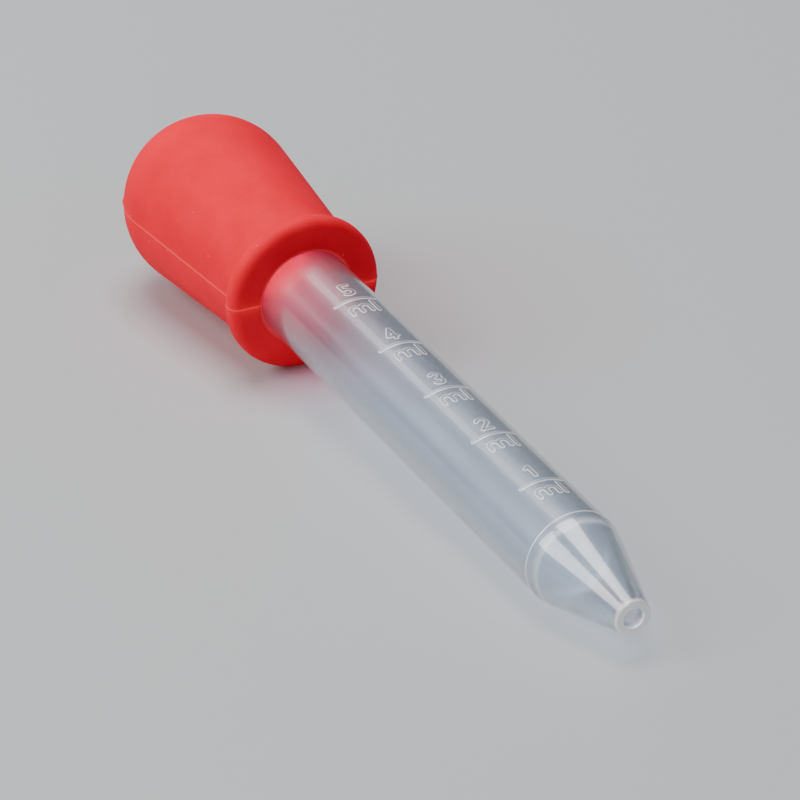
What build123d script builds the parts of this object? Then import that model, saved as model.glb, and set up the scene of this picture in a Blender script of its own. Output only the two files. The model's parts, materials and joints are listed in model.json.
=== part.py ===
from build123d import *
import os
from math import asin, atan2, cos, hypot, sin, tan

# A 5 ml medicine dropper lying on a table: a moulded barrel with a tapered tip and raised
# graduations, and a silicone squeeze bulb pulled over the barrel's open end.
# Millimetres. +Z is up, the tip points along +X, and the table is Z = 0.
# A station is a distance along the dropper's axis from the tip's end face towards the bulb.

# ---- Barrel ----
barrel_radius = 6.14
barrel_wall = 1.1
barrel_end = 93.3  # the open end, inside the bulb
tip_radius = 2.28
tip_edge_round = 0.3
orifice_radius = 1.37
orifice_length = 1.6
orifice_edge_round = 0.1
shoulder_station = 14.0  # where the outer cone would meet the cylinder
shoulder_round = 6.0
inner_shoulder_station = 13.9
witness_station = 15.1  # fine ring where the mould's tip insert meets its body
witness_height = 0.04
witness_width = 0.2
bead_start = 86.1  # a low bead round the barrel that keeps the bulb on
bead_width = 1.6
bead_height = 0.25

# ---- Graduations, raised on the barrel's top ----
first_graduation = 23.2
graduation_pitch = 12.05  # about one millilitre of the barrel's bore
graduation_width = 0.42
graduation_length = 5.95  # across the barrel, about 58 degrees round it
relief_height = 0.06
stroke_width = 0.52
digit_width = 1.8
digit_height = 2.85
digit_rise = 1.0  # from the line up to the digit's foot
unit_drop = 3.5  # from the line down to the unit's foot
unit_width = 4.0  # the two letters together
unit_height = 2.9
small_letter_height = 2.05
letter_gap = 0.9  # what the l and the space before it take of the unit's width

# ---- Squeeze bulb ----
collar_front = 84.4
collar_thickness = 2.9
collar_radius = 10.35
collar_round = 1.25
fit_clearance = 0.05  # between the barrel and the bulb's bore, where the real rubber grips
bore_end = 94.0
neck_radius = 9.0
dome_station = 111.6  # the widest circle
dome_radius = 11.4
dome_length = 10.8
dome_blend = 12.0  # profile radius that joins the conical wall to the dome
bulb_wall = 1.8
cavity_start = 97.5
cavity_start_radius = 8.0

# ---- Squeeze pads, the two patches of the bulb's wall that the fingers press ----
pad_start = 99.6
pad_end = 110.4
pad_width = 10.0
pad_gap = 0.2


def tangent_slope(run, rise, radius):
    """Slope of the line through a point that touches a circle of the given radius, whose
    centre lies run further on and rise below the point."""
    return asin(radius / hypot(run, rise)) - atan2(rise, run)


bead_end = bead_start + bead_width
bore_radius = barrel_radius + fit_clearance
mouth_radius = bore_radius + bead_height  # the bore in front of the bead, which the bead passes

# The dropper rests on its collar's rim and its barrel's shoulder, so its axis dips towards
# the tip, and the table's line touches both of those rounded edges.
cone_angle = atan2(barrel_radius - tip_radius, shoulder_station)
shoulder_arc_station = shoulder_station + shoulder_round * tan(cone_angle / 2)
shoulder_arc_radius = barrel_radius - shoulder_round
rim_arc_station = collar_front + collar_round
rim_arc_radius = collar_radius - collar_round
tilt = -tangent_slope(
    rim_arc_station - shoulder_arc_station,
    rim_arc_radius - shoulder_arc_radius,
    shoulder_round - collar_round,
)
bulb_end = dome_station + dome_length
tip_x = bulb_end * cos(tilt) / 2
tip_z = collar_round + rim_arc_radius * cos(tilt) - rim_arc_station * sin(tilt)

# Outlines are drawn in this plane: x is the station and y is the radius, upwards.
outline_plane = Plane(
    origin=(tip_x, 0, tip_z), x_dir=(-cos(tilt), 0, sin(tilt)), z_dir=(0, 1, 0)
)
dropper_axis = Axis(outline_plane.origin, outline_plane.x_dir)


def plan_plane(station):
    """A plane through the dropper's axis that faces up: x reads across, y towards the bulb."""
    origin = outline_plane.from_local_coords(Vector(station, 0, 0))
    return Plane(origin=origin, x_dir=(0, 1, 0), z_dir=outline_plane.y_dir)


# ================= Graduation marks =================
def glyph(character):
    """A raised character drawn as round-ended strokes, its foot centred on the origin."""
    half_stroke = stroke_width / 2
    half = digit_width / 2 - half_stroke
    top = digit_height - half_stroke
    foot = half_stroke
    bowl = (top - foot) / 4
    arch = (unit_width - letter_gap) / 4 - half_stroke / 2
    letter_top = small_letter_height - half_stroke
    with BuildSketch() as sketch:
        with BuildLine(mode=Mode.PRIVATE) as path:
            if character == "1":
                Polyline((-0.8 * half, top - 0.6), (0, top - 0.1), (0, foot))
            elif character == "2":
                bend = CenterArc((0, top - half), half, 160, -190)
                Polyline(bend @ 1, (-half, foot), (half, foot))
            elif character == "3":
                CenterArc((0, top - bowl), bowl, 150, -240)
                CenterArc((0, foot + bowl), bowl, 90, -240)
            elif character == "4":
                Polyline((0.3 * half, foot), (0.3 * half, top), (-half, foot + bowl))
                Line((-half, foot + bowl), (half, foot + bowl))
            elif character == "5":
                bend = CenterArc((0, foot + half), half, 130, -270)
                Polyline(bend @ 0, (-0.7 * half, top), (0.8 * half, top))
            elif character == "m":
                for side in (-1, 1):
                    CenterArc((side * arch, letter_top - arch), arch, 0, 180)
                for leg in (-1, 0, 1):
                    Line((leg * 2 * arch, foot), (leg * 2 * arch, letter_top - arch))
            elif character == "l":
                Line((0, foot), (0, unit_height - half_stroke))
        for stroke in path.edges():
            trace(stroke, line_width=stroke_width)
            with Locations(stroke @ 0, stroke @ 1):
                Circle(half_stroke)
    return sketch.sketch


with BuildPart() as marks:
    for volume in range(1, 6):
        with BuildSketch(plan_plane(first_graduation + (volume - 1) * graduation_pitch)):
            Rectangle(graduation_length, graduation_width)
            with Locations((0, digit_rise)):
                add(glyph(str(volume)))
            with Locations((-letter_gap / 2, -unit_drop)):
                add(glyph("m"))
            with Locations(((unit_width - stroke_width) / 2, -unit_drop)):
                add(glyph("l"))
        extrude(amount=barrel_radius + relief_height)
    with BuildSketch(outline_plane):
        with Locations((bead_start / 2, barrel_radius)):
            Rectangle(bead_start, 2 * relief_height)
    revolve(axis=dropper_axis, mode=Mode.INTERSECT)


# ================= Barrel =================
with BuildPart() as barrel:
    with BuildSketch(outline_plane):
        with BuildLine():
            FilletPolyline(
                (orifice_length, orifice_radius),
                (0, orifice_radius),
                (0, tip_radius),
                (shoulder_station, barrel_radius),
                (bead_start, barrel_radius),
                radius=[orifice_edge_round, tip_edge_round, shoulder_round],
            )
            ThreePointArc(
                (bead_start, barrel_radius),
                (bead_start + bead_width / 2, barrel_radius + bead_height),
                (bead_end, barrel_radius),
            )
            Polyline(
                (bead_end, barrel_radius),
                (barrel_end, barrel_radius),
                (barrel_end, barrel_radius - barrel_wall),
                (inner_shoulder_station, barrel_radius - barrel_wall),
                (orifice_length, orifice_radius),
            )
        make_face()
        with Locations((witness_station, barrel_radius)):
            Rectangle(witness_width, 2 * witness_height)
    revolve(axis=dropper_axis)
    add(marks.part)


# ================= Bulb =================
def bulb_outline():
    """Half section of the bulb: collar, conical wall, dome and cavity."""
    neck = (collar_front + collar_thickness, neck_radius)
    blend_centre = (dome_station, dome_radius - dome_blend)
    slope = tangent_slope(dome_station - neck[0], neck_radius - blend_centre[1], dome_blend)
    blend_start = (
        blend_centre[0] - dome_blend * sin(slope),
        blend_centre[1] + dome_blend * cos(slope),
    )
    inner_radius = dome_radius - bulb_wall
    inner_length = dome_length - bulb_wall
    with BuildSketch() as section:
        with BuildLine():
            FilletPolyline(
                (collar_front, mouth_radius),
                (collar_front, collar_radius),
                (neck[0], collar_radius),
                neck,
                radius=[collar_round, collar_round],
            )
            Line(neck, blend_start)
            RadiusArc(blend_start, (dome_station, dome_radius), dome_blend)
            EllipticalCenterArc((dome_station, 0), dome_length, dome_radius, 0, arc_size=90)
            Line((bulb_end, 0), (bulb_end - bulb_wall, 0))
            EllipticalCenterArc((dome_station, 0), inner_length, inner_radius, 0, arc_size=90)
            Polyline(
                (dome_station, inner_radius),
                (cavity_start, cavity_start_radius),
                (bore_end, bore_radius),
                (bead_end + fit_clearance, bore_radius),
                (bead_end + fit_clearance, mouth_radius),
                (collar_front, mouth_radius),
            )
        make_face()
    return section.sketch


pad_length = pad_end - pad_start
pad_centre = (pad_start + pad_end) / 2

with BuildPart() as bulb:
    with BuildSketch(outline_plane):
        add(bulb_outline())
    revolve(axis=dropper_axis)
    with BuildSketch(plan_plane(pad_centre)):
        Rectangle(pad_width + 2 * pad_gap, pad_length + 2 * pad_gap)
    extrude(amount=2 * dome_radius, both=True, mode=Mode.SUBTRACT)


def squeeze_pad(direction):
    """The patch of bulb wall above (+1) or below (-1) the dropper's axis."""
    with BuildPart() as pad:
        with BuildSketch(outline_plane):
            add(bulb_outline())
        revolve(axis=dropper_axis)
        with BuildSketch(plan_plane(pad_centre)):
            Rectangle(pad_width, pad_length)
        extrude(amount=2 * direction * dome_radius, mode=Mode.INTERSECT)
    return pad.part


# ================= Hand over =================
os.makedirs("parts", exist_ok=True)
pieces = {
    "barrel": barrel.part,
    "bulb": bulb.part,
    "bulb_upper_pad": squeeze_pad(1),
    "bulb_lower_pad": squeeze_pad(-1),
}
for name, piece in pieces.items():
    piece.label = name
    export_step(piece, f"parts/{name}.step")
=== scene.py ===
import json
import math

import bmesh
import bpy
import numpy as np
from mathutils import Matrix, Vector


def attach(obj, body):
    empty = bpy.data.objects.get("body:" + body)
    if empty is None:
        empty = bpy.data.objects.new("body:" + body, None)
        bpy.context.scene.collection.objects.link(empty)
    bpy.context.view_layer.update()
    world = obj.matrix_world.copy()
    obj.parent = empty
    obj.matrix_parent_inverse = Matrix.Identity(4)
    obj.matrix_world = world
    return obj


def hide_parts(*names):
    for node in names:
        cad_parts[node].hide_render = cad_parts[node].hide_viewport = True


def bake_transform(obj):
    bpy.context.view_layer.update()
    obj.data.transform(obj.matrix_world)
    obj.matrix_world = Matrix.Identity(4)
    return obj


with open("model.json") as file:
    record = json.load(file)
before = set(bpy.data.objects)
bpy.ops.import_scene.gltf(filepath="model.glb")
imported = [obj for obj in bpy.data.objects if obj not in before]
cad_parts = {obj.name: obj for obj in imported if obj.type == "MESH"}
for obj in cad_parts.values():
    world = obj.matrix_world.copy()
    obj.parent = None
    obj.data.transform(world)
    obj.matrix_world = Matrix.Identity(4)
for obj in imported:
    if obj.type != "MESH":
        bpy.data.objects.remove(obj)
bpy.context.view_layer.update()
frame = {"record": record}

# A 5 ml medicine dropper on a pale table. Lengths are in metres.
# A station is a distance along the dropper's axis from the tip's end face towards the bulb,
# and a bearing is an angle round that axis, 0 at the top and growing towards +Y.

mm = 0.001
same_length = 1e-7  # lengths that differ by less than this count as equal
no_length = 1e-8  # edges shorter than this are taken out

# ---------------------------------------------------------------- where the dropper lies
mounts = {mount["name"]: mount for mount in frame["record"]["mounts"]}
orifice = mounts["tip_orifice"]
orifice_edge_round = 0.1 * mm
orifice_radius = orifice["dims"]["r_mm"] * mm
orifice_wall = orifice["dims"]["length_mm"] * mm
along = -Vector(orifice["axis"]).normalized()
tip = Vector(orifice["pos_m"]) - along * (orifice_edge_round + orifice_wall / 2)
across = Vector((0, 1, 0))
upward = across.cross(along).normalized()
if upward.z < 0:
    upward = -upward


def place(station, radius, bearing):
    """Points in the frame at these stations, radii and bearings (numpy arrays)."""
    station, radius, bearing = np.broadcast_arrays(station, radius, bearing)
    side = radius * np.sin(bearing)
    height = radius * np.cos(bearing)
    point = np.array(tip) + station[..., None] * np.array(along)
    point = point + side[..., None] * np.array(across)
    return point + height[..., None] * np.array(upward)


# ---------------------------------------------------------------- outline helpers
def line(start, end, steps):
    """Points from start to just before end."""
    share = np.arange(steps) / steps
    return np.array(start) + share[:, None] * (np.array(end) - np.array(start))


def arc(centre, radii, first, last, steps):
    """Points on an ellipse from angle first to just before last, in degrees."""
    angle = np.radians(first + (last - first) * np.arange(steps) / steps)
    return np.stack([centre[0] + radii[0] * np.cos(angle), centre[1] + radii[1] * np.sin(angle)], 1)


def rounded(before, corner, after, radius, steps):
    """Points round a corner's tangent arc, from its start to just before its end."""
    before, corner, after = (np.array(p, float) for p in (before, corner, after))
    back = (before - corner) / np.linalg.norm(before - corner)
    on = (after - corner) / np.linalg.norm(after - corner)
    half = math.acos(np.clip(back @ on, -1, 1)) / 2
    centre = corner + (back + on) / np.linalg.norm(back + on) * radius / math.sin(half)
    start = corner + back * radius / math.tan(half) - centre
    end = corner + on * radius / math.tan(half) - centre
    sweep = math.atan2(start[0] * end[1] - start[1] * end[0], start @ end)
    angle = math.atan2(start[1], start[0]) + sweep * np.arange(steps) / steps
    return centre + radius * np.stack([np.cos(angle), np.sin(angle)], 1)


def tangent_slope(run, rise, radius):
    """Slope of the line through a point that touches a circle run further and rise below."""
    return math.asin(radius / math.hypot(run, rise)) - math.atan2(rise, run)


def near(value, middle, width):
    """1 at the middle, falling smoothly to nothing a couple of widths away."""
    return np.exp(-(((value - middle) / width) ** 2))


def unevenness(station, bearing, size, seed):
    """A slight waviness of a moulded surface, between -1 and 1."""
    rng = np.random.default_rng(seed)
    total = np.zeros(np.broadcast(station, bearing).shape)
    for _ in range(6):
        turns = rng.integers(1, 4)
        pitch = size * rng.uniform(0.6, 1.8)
        total = total + np.sin(turns * bearing + station * 2 * math.pi / pitch + rng.uniform(0, 6.3))
    return total / 6


def mesh_object(name, points, faces):
    """A smooth-shaded object in the scene, made of these points and faces."""
    mesh = bpy.data.meshes.new(name)
    mesh.from_pydata(points.reshape(-1, 3).tolist(), [], faces)
    mesh.validate()
    mesh.update()
    mesh.shade_smooth()
    made = bpy.data.objects.new(name, mesh)
    bpy.context.scene.collection.objects.link(made)
    return made


def clean(made):
    """Welds points that coincide, as at a pole, and turns the faces outwards."""
    work = bmesh.new()
    work.from_mesh(made.data)
    bmesh.ops.remove_doubles(work, verts=work.verts, dist=same_length)
    bmesh.ops.dissolve_degenerate(work, edges=work.edges, dist=no_length)
    # The flat caps of the bulb's halves are the only faces with more corners than a quad.
    caps = [face for face in work.faces if len(face.verts) > 4]
    for cap in caps:
        for edge in cap.edges:
            edge.smooth = False
    bmesh.ops.triangulate(work, faces=caps)
    bmesh.ops.recalc_face_normals(work, faces=work.faces)
    work.to_mesh(made.data)
    work.free()
    made.data.update()


def keep(made, name, values):
    """Stores one number for each point of the mesh, for its material to read."""
    layer = made.data.attributes.new(name, "FLOAT", "POINT")
    layer.data.foreach_set("value", np.ascontiguousarray(values, np.float32).ravel())


def keep_places(made, station, radius, bearing):
    """Stores each point's place in the dropper's own axes: x along, y sideways, z up."""
    station, radius, bearing = np.broadcast_arrays(station, radius, bearing)
    places = np.stack([station, radius * np.sin(bearing), radius * np.cos(bearing)], -1)
    layer = made.data.attributes.new("moulded_place", "FLOAT_VECTOR", "POINT")
    layer.data.foreach_set("vector", np.ascontiguousarray(places, np.float32).ravel())


def grid_faces(rows, columns, wrap_columns):
    """Quads of a grid whose rows close on themselves, and whose columns may too."""
    faces = []
    for row in range(rows):
        below = (row + 1) % rows
        for column in range(columns if wrap_columns else columns - 1):
            right = (column + 1) % columns
            faces.append(
                (
                    row * columns + column,
                    row * columns + right,
                    below * columns + right,
                    below * columns + column,
                )
            )
    return faces


# ---------------------------------------------------------------- barrel
barrel_radius = 6.14 * mm
barrel_bore = barrel_radius - 1.1 * mm
barrel_end = 93.3 * mm
bead_start = 86.1 * mm
bead_width = 1.6 * mm
bead_height = 0.25 * mm
tip_radius = 2.28 * mm
tip_edge_round = 0.3 * mm
orifice_length = orifice_edge_round + orifice_wall
shoulder_station = 14.0 * mm
shoulder_round = 6.0 * mm
inner_shoulder = 13.9 * mm
witness_station = 15.1 * mm
witness_height = 0.04 * mm
witness_width = 0.12 * mm

first_graduation = 23.2 * mm
graduation_pitch = 12.05 * mm
graduation_width = 0.42 * mm
graduation_length = 5.95 * mm
stroke_width = 0.52 * mm
digit_width = 1.8 * mm
digit_height = 2.85 * mm
digit_rise = 1.0 * mm
unit_drop = 3.5 * mm
unit_width = 4.0 * mm
unit_height = 2.9 * mm
l_room = 0.9 * mm  # the share of the unit's width that the l and its gap take
small_letter_height = 2.05 * mm
graduations = [first_graduation + step * graduation_pitch for step in range(5)]
relief_height = 0.05 * mm
relief_edge = 0.24 * mm  # how wide the slope at a mark's edge is

# Every mark of one graduation lies this close to its line, and this close to the barrel's top.
mark_reach_along = 4.6 * mm
mark_reach_round = 3.4 * mm

# The barrel's grid is fine where the marks are and coarse elsewhere.
marked_half_angle = 31  # degrees either side of the top
marked_columns = 84
plain_columns = 58
marked_ring_step = 0.09 * mm
plain_ring_step = 0.9 * mm
mark_margin = 0.25 * mm
cone_ring_step = 0.2 * mm
witness_ring_step = 0.04 * mm
barrel_end_round = 0.15 * mm
inner_shoulder_round = 0.3 * mm
inner_throat_round = 0.4 * mm

# The barrel's surface is slightly wavy, except near the tip's end.
barrel_wave_height = 0.012 * mm
barrel_wave_pitch = 30 * mm
barrel_wave_start = 3 * mm

# Where the plastic is whitened (painted highlights along the marks' edges, on the witness ring and at
# the inner shoulder, and a whitened tip end), and how far the whitening reaches.
mark_highlight_width = 0.085 * mm
witness_highlight = 0.9
witness_highlight_width = 0.13 * mm
inner_shoulder_highlight = 0.7
inner_shoulder_highlight_width = 0.12 * mm
inner_shoulder_highlight_depth = 0.5 * mm
tip_frost_fade = 0.4 * mm
tip_frost_start = 1.5  # counted in fades, so the first half fade is wholly white


def bow(centre, radius, first, sweep):
    """A circular stroke as a string of points."""
    return arc(centre, (radius, radius), first, first + sweep * 25 / 24, 25)


def glyph(character):
    """Centre lines of a character's strokes, its foot centred on the origin."""
    half = (digit_width - stroke_width) / 2
    foot = stroke_width / 2
    top = digit_height - foot
    bowl = (top - foot) / 4
    arch = (unit_width - l_room) / 4 - stroke_width / 4
    letter_top = small_letter_height - foot
    if character == "1":
        return [[(-0.8 * half, top - 0.6 * mm), (0, top - 0.1 * mm), (0, foot)]]
    if character == "2":
        bend = bow((0, top - half), half, 160, -190)
        return [bend, [bend[-1], (-half, foot), (half, foot)]]
    if character == "3":
        return [bow((0, top - bowl), bowl, 150, -240), bow((0, foot + bowl), bowl, 90, -240)]
    if character == "4":
        elbow = (-half, foot + bowl)
        return [[(0.3 * half, foot), (0.3 * half, top), elbow, (half, foot + bowl)]]
    if character == "5":
        bend = bow((0, foot + half), half, 130, -270)
        return [bend, [bend[0], (-0.7 * half, top), (0.8 * half, top)]]
    if character == "m":
        arches = [bow((side * arch, letter_top - arch), arch, 0, 180) for side in (-1, 1)]
        legs = [[(x, foot), (x, letter_top - arch)] for x in (-2 * arch, 0, 2 * arch)]
        return arches + legs
    return [[(0, foot), (0, unit_height - foot)]]


def distance_to_strokes(x, y, strokes):
    """Distance from each point to the nearest stroke's centre line."""
    nearest = np.full(x.shape, 1.0)
    for stroke in strokes:
        for start, end in zip(stroke[:-1], stroke[1:]):
            run = np.array(end) - np.array(start)
            share = ((x - start[0]) * run[0] + (y - start[1]) * run[1]) / (run @ run)
            share = np.clip(share, 0, 1)
            gap = np.hypot(x - start[0] - share * run[0], y - start[1] - share * run[1])
            nearest = np.minimum(nearest, gap)
    return nearest


def rise_at(depth):
    """Height of the relief for a depth inside a mark's edge, with a rounded shoulder."""
    share = np.clip(depth / relief_edge + 0.5, 0, 1)
    return relief_height * share * share * (3 - 2 * share)


def depth_in_marks(station, bearing):
    """Depth inside the graduation marks' outlines, negative outside them."""
    reading = bearing * barrel_radius
    depth = np.full(station.shape, -1 * mm)
    for number, graduation in enumerate(graduations, 1):
        close = np.abs(station - graduation) < mark_reach_along
        close &= np.abs(reading) < mark_reach_round
        x = reading[close]
        y = station[close] - graduation
        beyond = np.maximum(np.abs(x) - graduation_length / 2 + graduation_width / 2, 0)
        found = graduation_width / 2 - np.hypot(beyond, y)
        letter_side = (unit_width - stroke_width) / 2
        for character, side, foot in (
            (str(number), 0, digit_rise),
            ("m", -l_room / 2, -unit_drop),
            ("l", letter_side, -unit_drop),
        ):
            gap = distance_to_strokes(x - side, y - foot, glyph(character))
            found = np.maximum(found, stroke_width / 2 - gap)
        depth[close] = found
    return depth


def barrel_outline():
    """The barrel's half section as a closed loop of (station, radius)."""
    # The last number of each line, arc and rounded corner is how many points it makes.
    corner = (0, tip_radius)
    shoulder = (shoulder_station, barrel_radius)
    end = (barrel_end, barrel_radius)
    face = (0, orifice_radius)
    throat = (orifice_length, orifice_radius)
    tip_out = rounded(face, corner, shoulder, tip_edge_round, 8)
    bend = rounded(corner, shoulder, end, shoulder_round, 20)
    outer = [
        rounded(throat, face, corner, orifice_edge_round, 6),
        line((0, orifice_radius + orifice_edge_round), tip_out[0], 4),
        tip_out,
        line(tip_out[-1], bend[0], 24)[1:],
        bend,
    ]
    rings_start = bend[-1][0] + cone_ring_step
    rings_end = witness_station - 0.3 * mm
    stations = list(np.arange(rings_start, rings_end, cone_ring_step))
    stations += list(witness_station + np.arange(-6, 7) * witness_ring_step)
    plain_start = witness_station + 0.5 * mm
    for graduation in graduations:
        marked_start = graduation - unit_drop - mark_margin
        marked_end = graduation + digit_rise + digit_height + mark_margin
        plain_rings = max(2, round((marked_start - plain_start) / plain_ring_step))
        stations += list(np.linspace(plain_start, marked_start, plain_rings, endpoint=False))
        stations += list(np.arange(marked_start, marked_end, marked_ring_step))
        plain_start = marked_end
    stations += list(np.linspace(plain_start, bead_start, 14, endpoint=False))
    outer.append(np.array([(station, barrel_radius) for station in stations]))
    swell = np.arange(17) / 16
    hump = bead_height * np.sin(math.pi * swell)
    outer.append(np.stack([bead_start + bead_width * swell, barrel_radius + hump], 1))
    bead_end = (bead_start + bead_width, barrel_radius)
    outer.append(line(bead_end, end, 6)[1:])
    bore_mouth = (barrel_end, barrel_bore)
    inner = (inner_shoulder, barrel_bore)
    rim_out = rounded(bead_end, end, bore_mouth, barrel_end_round, 5)
    rim_in = rounded(end, bore_mouth, inner, barrel_end_round, 5)
    cone = rounded(bore_mouth, inner, throat, inner_shoulder_round, 8)
    neck = rounded(inner, throat, face, inner_throat_round, 6)
    inside = [
        rim_out,
        line(rim_out[-1], rim_in[0], 2),
        rim_in,
        line(rim_in[-1], cone[0], 60)[1:],
        cone,
        line(cone[-1], neck[0], 18)[1:],
        neck,
        line(neck[-1], (orifice_edge_round, orifice_radius), 4)[1:],
    ]
    return np.concatenate(outer + inside)


def make_barrel():
    """The barrel, its tip and its raised marks as one closed mesh."""
    marked = np.linspace(-marked_half_angle, marked_half_angle, marked_columns)
    plain = np.linspace(marked_half_angle, 360 - marked_half_angle, plain_columns)[1:-1]
    bearing = np.radians(np.concatenate([marked, plain]))[None, :]
    outline = barrel_outline()
    station, radius = outline[:, :1], outline[:, 1:]
    outside = (radius > barrel_radius - same_length) * 1.0
    turn = (bearing + math.pi) % (2 * math.pi) - math.pi
    depth = depth_in_marks(station + 0 * turn, turn + 0 * station)
    ring = np.clip(1 - np.abs(station - witness_station) / witness_width, 0, 1)
    grown = radius + outside * (rise_at(depth) + witness_height * ring)
    wave = unevenness(station, bearing, barrel_wave_pitch, 5) * (station > barrel_wave_start)
    grown = grown + barrel_wave_height * wave
    points = place(station, grown, bearing)
    barrel = mesh_object("barrel_tube", points, grid_faces(len(outline), bearing.shape[1], True))
    # Painted highlight: the plastic is whitened along the marks' edges, on the witness ring and at
    # the inner shoulder. The tip's end is whitened too.
    painted_highlight_and_frost = outside * near(depth, 0, mark_highlight_width)
    on_witness = outside * near(station, witness_station, witness_highlight_width)
    painted_highlight_and_frost = np.maximum(painted_highlight_and_frost, witness_highlight * on_witness)
    inside_edge = near(station, inner_shoulder, inner_shoulder_highlight_width)
    inside_edge = inside_edge * near(radius, barrel_bore, inner_shoulder_highlight_depth)
    painted_highlight_and_frost = np.maximum(painted_highlight_and_frost, inner_shoulder_highlight * inside_edge)
    painted_highlight_and_frost = np.maximum(painted_highlight_and_frost, np.clip(tip_frost_start - station / tip_frost_fade, 0, 1))
    keep_places(barrel, station, radius, bearing)
    keep(barrel, "painted_highlight_and_frost", painted_highlight_and_frost)
    return barrel


# ---------------------------------------------------------------- bulb
collar_front = 84.4 * mm
collar_thickness = 2.9 * mm
collar_radius = 10.35 * mm
collar_round = 1.25 * mm
fit_clearance = 0.05 * mm
bulb_bore = barrel_radius + fit_clearance
groove_radius = bulb_bore + bead_height
groove_start = bead_start - 0.3 * mm
lip_radius = barrel_radius + 0.03 * mm  # the stretched rubber closes round the barrel here
groove_end = bead_start + bead_width + fit_clearance
bore_end = 94.0 * mm
neck_radius = 9.0 * mm
dome_station = 111.6 * mm
dome_radius = 11.34 * mm
dome_length = 10.74 * mm
dome_blend = 12.0 * mm
bulb_wall = 1.8 * mm
cavity_start = 97.5 * mm
cavity_start_radius = 8.0 * mm
lip_round = 0.12 * mm
lip_length = 0.2 * mm
root_round = 0.35 * mm  # where the neck meets the collar

# The mould's seam, with a little flash left on it: a nub on the dome and a tab on the collar.
seam_height = 0.05 * mm
seam_width = 0.12 * mm
nub_station = 116.4 * mm
nub_length = 0.9 * mm
nub_height = 0.14 * mm
tab_station = 85.2 * mm
tab_length = 0.3 * mm
tab_height = 0.07 * mm
flash_width = 0.3 * mm
seam_mark_width = 0.09 * mm  # how far the rubber is paler beside the seam
lip_highlight_width = 0.18 * mm  # and how far the painted highlight reaches at the mouth's edge

# The grid is crowded beside the seam, at these degrees from the parting plane.
seam_columns = np.array([0, 0.2, 0.4, 0.6, 0.8, 1.1, 1.6, 2.4, 3.6, 5.2])
open_start = 7.5  # degrees from the parting plane at which its even part starts
open_columns = 67

# The bulb's surface is slightly wavy, except near the dome's pole.
bulb_wave_height = 0.03 * mm
bulb_wave_pitch = 26 * mm
pole_radius = 3 * mm


def bulb_outline():
    """The bulb's half section as a closed loop, from the mouth over the dome and back."""
    mouth = (collar_front, lip_radius)
    rim_front = (collar_front, collar_radius)
    rim_back = (collar_front + collar_thickness, collar_radius)
    neck = (collar_front + collar_thickness, neck_radius)
    groove_front = (groove_start, groove_radius)
    groove_back = (groove_end, groove_radius)
    throat = (groove_start - lip_length, lip_radius)
    step = (groove_end, bulb_bore)
    bore_back = (bore_end, bulb_bore)
    cavity = (cavity_start, cavity_start_radius)
    widest_inside = (dome_station, dome_radius - bulb_wall)
    below = neck_radius - (dome_radius - dome_blend)
    slope = tangent_slope(dome_station - neck[0], below, dome_blend)
    blend_centre = (dome_station, dome_radius - dome_blend)
    blend = arc(blend_centre, (dome_blend, dome_blend), 90 + math.degrees(slope), 90, 6)
    lip = rounded(throat, mouth, rim_front, lip_round, 4)
    front = rounded(mouth, rim_front, rim_back, collar_round, 12)
    back = rounded(rim_front, rim_back, neck, collar_round, 12)
    root = rounded(rim_back, neck, tuple(blend[0]), root_round, 5)
    outer_dome = arc((dome_station, 0), (dome_length, dome_radius), 90, 0, 44)
    outer_dome[:, 1] = np.maximum(outer_dome[:, 1], 0)
    inner_dome = arc(
        (dome_station, 0), (dome_length - bulb_wall, dome_radius - bulb_wall), 0, 90, 24
    )
    return np.concatenate(
        [
            lip,
            line(lip[-1], front[0], 8)[1:],
            front,
            line(front[-1], back[0], 3)[1:],
            back,
            line(back[-1], root[0], 3)[1:],
            root,
            line(root[-1], blend[0], 44)[1:],
            blend,
            outer_dome,
            [(dome_station + dome_length, 0)],
            inner_dome,
            line(widest_inside, cavity, 14),
            line(cavity, bore_back, 6),
            line(bore_back, step, 6),
            line(step, groove_back, 2),
            line(groove_back, groove_front, 4),
            line(groove_front, throat, 2),
            line(throat, lip[0], 3),
        ]
    )


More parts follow.
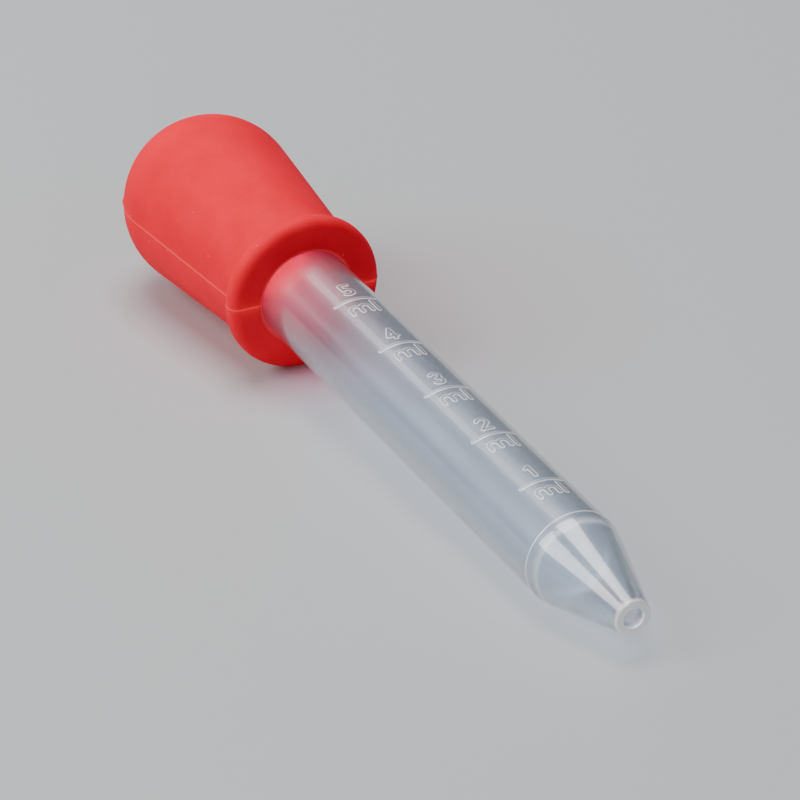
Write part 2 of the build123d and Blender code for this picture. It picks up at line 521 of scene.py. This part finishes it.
def make_bulb_half(name, side):
    """Half of the bulb, above (+1) or below (-1) the mould's parting plane."""
    even = np.linspace(open_start, 180 - open_start, open_columns)
    swing = np.radians(np.concatenate([seam_columns, even, 180 - seam_columns[::-1]]))
    bearing = (swing - math.pi / 2)[None, :]
    if side < 0:
        bearing = bearing + math.pi
    outline = bulb_outline()
    station, radius = outline[:, :1], outline[:, 1:]
    outside = np.zeros(len(outline), bool)
    outside[: int(np.argmax(outline[:, 0])) + 1] = True
    outside = outside[:, None]
    from_seam = radius * np.cos(bearing)
    off_pole = np.clip(radius / mm - 1, 0, 1)  # the ridge fades out from 2 mm to 1 mm of radius
    ridge = near(from_seam, 0, seam_width) * off_pole
    flash = nub_height * near(station, nub_station, nub_length)
    flash = flash + tab_height * near(station, tab_station, tab_length)
    raised = seam_height * ridge + flash * near(from_seam, 0, flash_width)
    wave = unevenness(station, bearing, bulb_wave_pitch, 9) * np.sin(swing)[None, :]
    grown = radius + outside * (raised + bulb_wave_height * wave * (radius > pole_radius))
    points = place(station, grown, bearing)
    rows, columns = points.shape[:2]
    faces = grid_faces(rows, columns, False)
    faces.append([row * columns for row in range(rows)][::-1])
    faces.append([row * columns + columns - 1 for row in range(rows)])
    half = mesh_object(name, points, faces)
    keep_places(half, station, radius, bearing)
    # The rubber is paler beside the seam, and a painted highlight lies along the mouth's edge.
    pale_seam_and_lip_highlight = near(from_seam, 0, seam_mark_width) * (radius > 1 * mm)
    lip = near(np.hypot(station - collar_front, radius - lip_radius), 0, lip_highlight_width)
    keep(half, "pale_seam_and_lip_highlight", outside * np.maximum(pale_seam_and_lip_highlight, lip + 0 * pale_seam_and_lip_highlight))
    keep(half, "inside", (1 - outside) + 0 * pale_seam_and_lip_highlight)
    clean(half)
    return half


# ---------------------------------------------------------------- materials
def new_material(name):
    """A new material, its node tree and the shader in it."""
    material = bpy.data.materials.new(name)
    material.use_nodes = True
    tree = material.node_tree
    return material, tree, tree.nodes["Principled BSDF"]


def stored(tree, name, output="Fac"):
    """A value that keep or keep_places stored in the mesh."""
    node = tree.nodes.new("ShaderNodeAttribute")
    node.attribute_name = name
    return node.outputs[output]


def stretched(tree, scale):
    """The moulded place, scaled along, sideways and up."""
    node = tree.nodes.new("ShaderNodeMapping")
    node.inputs["Scale"].default_value = scale
    tree.links.new(stored(tree, "moulded_place", "Vector"), node.inputs["Vector"])
    return node.outputs["Vector"]


def noise(tree, place, detail=2.0):
    """Cloudy noise, mostly between 0.3 and 0.7."""
    node = tree.nodes.new("ShaderNodeTexNoise")
    node.inputs["Scale"].default_value = 1.0
    node.inputs["Detail"].default_value = detail
    tree.links.new(place, node.inputs["Vector"])
    return node.outputs["Fac"]


def spread(tree, value, low, high, first=0.3, last=0.7):
    """The value, taken from first..last to low..high."""
    node = tree.nodes.new("ShaderNodeMapRange")
    for socket, number in zip(("From Min", "From Max", "To Min", "To Max"), (first, last, low, high)):
        node.inputs[socket].default_value = number
    tree.links.new(value, node.inputs["Value"])
    return node.outputs["Result"]


def reckon(tree, operation, *values):
    """One step of arithmetic on values that are numbers or sockets."""
    node = tree.nodes.new("ShaderNodeMath")
    node.operation = operation
    for socket, value in zip(node.inputs, values):
        if isinstance(value, (int, float)):
            socket.default_value = value
        else:
            tree.links.new(value, socket)
    return node.outputs["Value"]


def mixed(tree, share, first, second):
    """A colour between two colours, each given as numbers or as a socket."""
    node = tree.nodes.new("ShaderNodeMix")
    node.data_type = "RGBA"
    tree.links.new(share, node.inputs["Factor"])
    # Inputs 6 and 7 and output 2 of this node are the ones for colours.
    for socket, colour in zip((node.inputs[6], node.inputs[7]), (first, second)):
        if isinstance(colour, tuple):
            socket.default_value = colour + (1.0,)
        else:
            tree.links.new(colour, socket)
    return node.outputs[2]


def bumps(tree, height, distance, strength):
    """A normal bent by a height map that is this deep."""
    node = tree.nodes.new("ShaderNodeBump")
    node.inputs["Distance"].default_value = distance
    node.inputs["Strength"].default_value = strength
    tree.links.new(height, node.inputs["Height"])
    return node.outputs["Normal"]


def let_light_through(tree, shader, colour, share):
    """Lets a share of each lamp's light pass, tinted, as a thin translucent wall does."""
    mix = tree.nodes.new("ShaderNodeMixShader")
    path = tree.nodes.new("ShaderNodeLightPath")
    through = tree.nodes.new("ShaderNodeBsdfTransparent")
    through.inputs["Color"].default_value = colour + (1.0,)
    tree.links.new(reckon(tree, "MULTIPLY", path.outputs["Is Shadow Ray"], share), mix.inputs["Fac"])
    tree.links.new(shader.outputs["BSDF"], mix.inputs[1])
    tree.links.new(through.outputs["BSDF"], mix.inputs[2])
    tree.links.new(mix.outputs["Shader"], tree.nodes["Material Output"].inputs["Surface"])


# Noise cells in a metre along the dropper, sideways and up.
drawn_lines = (40, 1500, 1500)
clouds = (110, 260, 260)
mottling = (260, 260, 260)
rubber_grain = (5200, 5200, 5200)
dust_specks = (450, 450, 450)
grain_depth = 0.01 * mm

# Linear colours, red, green and blue.
plastic_tints = ((0.66, 0.72, 0.80), (0.72, 0.77, 0.84))
# The white of the painted highlights on the barrel's marks and rings, and of the tip's whitened end.
highlight_and_frost_white = (0.97, 0.985, 1.0)
light_through_plastic = (0.92, 0.94, 0.97)
rubber_reds = ((0.80, 0.003, 0.020), (0.88, 0.006, 0.030))
# Pink for the paler seam and for the painted highlight at the mouth's edge.
pale_seam_and_lip_highlight_pink = (1.0, 0.16, 0.15)
dust_pink = (1.0, 0.42, 0.40)
# Painted glow: the bulb's inner surfaces get a brighter, pinker red, standing in for lamp light
# scattered through the rubber.
painted_glow_red = (1.0, 0.03, 0.24)
light_through_rubber = (1.0, 0.02, 0.42)


def barrel_plastic():
    """Natural polypropylene: milky and see-through, with faint lines drawn along it."""
    material, tree, shader = new_material("natural_polypropylene")
    # A stored mask whitens the plastic and makes it less clear: painted highlights along the marks'
    # edges, on the witness ring and at the inner shoulder, and a whitened tip end.
    painted_highlight_and_frost = stored(tree, "painted_highlight_and_frost")
    drawn = noise(tree, stretched(tree, drawn_lines), 3.0)
    drawn = reckon(tree, "MULTIPLY", drawn, reckon(tree, "SUBTRACT", 1, painted_highlight_and_frost))
    cloud = noise(tree, stretched(tree, clouds))
    clear = spread(tree, cloud, 0.97, 0.93)
    clear = reckon(tree, "SUBTRACT", clear, reckon(tree, "MULTIPLY", painted_highlight_and_frost, 0.80))
    rough = spread(tree, drawn, 0.16, 0.26)
    rough = reckon(tree, "ADD", rough, reckon(tree, "MULTIPLY", painted_highlight_and_frost, 0.15))
    tint = mixed(tree, cloud, *plastic_tints)
    tree.links.new(mixed(tree, painted_highlight_and_frost, tint, highlight_and_frost_white), shader.inputs["Base Color"])
    tree.links.new(clear, shader.inputs["Transmission Weight"])
    tree.links.new(rough, shader.inputs["Roughness"])
    tree.links.new(bumps(tree, drawn, grain_depth, 0.2), shader.inputs["Normal"])
    shader.inputs["IOR"].default_value = 1.49
    shader.inputs["Coat Weight"].default_value = 0.7
    shader.inputs["Coat Roughness"].default_value = 0.06
    shader.inputs["Coat IOR"].default_value = 1.45
    let_light_through(tree, shader, light_through_plastic, 0.80)
    return material


def bulb_rubber(name, glow):
    """Red silicone rubber: satin, soft, with faint mottling and a few specks of dust.

    The glow is the share of each lamp's light that comes through the wall.
    """
    material, tree, shader = new_material(name)
    mottle = noise(tree, stretched(tree, mottling), 3.0)
    grain = noise(tree, stretched(tree, rubber_grain))
    red = mixed(tree, spread(tree, mottle, 0, 1), *rubber_reds)
    # Paler beside the seam, with a painted highlight at the mouth's edge.
    red = mixed(tree, reckon(tree, "MULTIPLY", stored(tree, "pale_seam_and_lip_highlight"), 0.55), red, pale_seam_and_lip_highlight_pink)
    specks = tree.nodes.new("ShaderNodeTexVoronoi")
    specks.inputs["Scale"].default_value = 1.0
    tree.links.new(stretched(tree, dust_specks), specks.inputs["Vector"])
    dust = spread(tree, specks.outputs["Distance"], 1, 0, 0.03, 0.055)
    red = mixed(tree, reckon(tree, "MULTIPLY", dust, 0.5), red, dust_pink)
    # Painted glow: the inner surfaces are a brighter, pinker red.
    red = mixed(tree, stored(tree, "inside"), red, painted_glow_red)
    tree.links.new(red, shader.inputs["Base Color"])
    tree.links.new(spread(tree, mottle, 0.62, 0.74), shader.inputs["Roughness"])
    tree.links.new(bumps(tree, grain, grain_depth, 0.35), shader.inputs["Normal"])
    shader.inputs["IOR"].default_value = 1.43
    shader.inputs["Specular IOR Level"].default_value = 0.12
    shader.inputs["Subsurface Weight"].default_value = 0.5
    shader.inputs["Subsurface Radius"].default_value = (1.0, 0.12, 0.10)
    shader.inputs["Subsurface Scale"].default_value = 2.0 * mm
    let_light_through(tree, shader, light_through_rubber, glow)
    return material


def table_top():
    """A plain matt table."""
    material, tree, shader = new_material("pale_table")
    shader.inputs["Base Color"].default_value = (0.47, 0.48, 0.49, 1)
    shader.inputs["Roughness"].default_value = 0.5
    return material


# ---------------------------------------------------------------- the object
barrel = make_barrel()
barrel.data.materials.append(barrel_plastic())
clean(barrel)
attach(barrel, "barrel")
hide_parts("barrel")

# The upper half lets more light through, so that pink shows in the barrel beside the collar.
for name, side, glow in (("bulb_upper", 1, 0.98), ("bulb_lower", -1, 0.35)):
    pad = name + "_pad"
    half = make_bulb_half(name, side)
    half.data.materials.append(bulb_rubber("red_silicone_" + name, glow))
    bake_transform(half)
    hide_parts("bulb", pad)

# ---------------------------------------------------------------- table, light and camera
bpy.ops.mesh.primitive_plane_add(size=6, location=(0, 0, 0))
table = bpy.context.object
table.name = "table"
table.data.materials.append(table_top())


lamp_aim = Vector((0, 0, 0.01))


def softbox(name, position, size, power):
    """A square lamp that faces the dropper: its place and size in metres, its power in watts."""
    light = bpy.data.lights.new(name, "AREA")
    light.size = size
    light.energy = power
    lamp = bpy.data.objects.new(name, light)
    bpy.context.scene.collection.objects.link(lamp)
    lamp.location = position
    lamp.rotation_euler = (lamp_aim - Vector(position)).to_track_quat("-Z", "Y").to_euler()


softbox("overhead", (-0.27, 0.0, 0.96), 0.60, 10)
softbox("left", (-0.28, -0.73, 0.62), 0.56, 8)
softbox("streak", (-0.80, -0.01, 0.74), 0.22, 0.34)
softbox("front", (0.36, -0.20, 0.10), 0.16, 0.34)
world = bpy.data.worlds.new("studio")
world.use_nodes = True
world.node_tree.nodes["Background"].inputs["Color"].default_value = (0.9, 0.93, 1, 1)
world.node_tree.nodes["Background"].inputs["Strength"].default_value = 0.15
bpy.context.scene.world = world

view_azimuth = math.radians(62.62)
view_elevation = math.radians(26.93)
tip_distance = 0.8104  # from the camera to the tip, along the line of sight
tip_right = 0.0271  # how far right of the line of sight the tip is
tip_below = 0.0253  # and how far below it
right = Vector((math.cos(view_azimuth), math.sin(view_azimuth), 0))
flat = Vector((-math.sin(view_azimuth), math.cos(view_azimuth), 0))
forward = flat * math.cos(view_elevation) - Vector((0, 0, math.sin(view_elevation)))
over = right.cross(forward)
camera_data = bpy.data.cameras.new("camera")
camera_data.lens = 315  # with this sensor, 7000 pixels on a picture 800 wide
camera_data.sensor_width = 36
camera = bpy.data.objects.new("camera", camera_data)
bpy.context.scene.collection.objects.link(camera)
camera.matrix_world = Matrix.Translation(
    tip - forward * tip_distance - right * tip_right + over * tip_below
) @ Matrix((right, over, -forward)).transposed().to_4x4()
bpy.context.scene.camera = camera
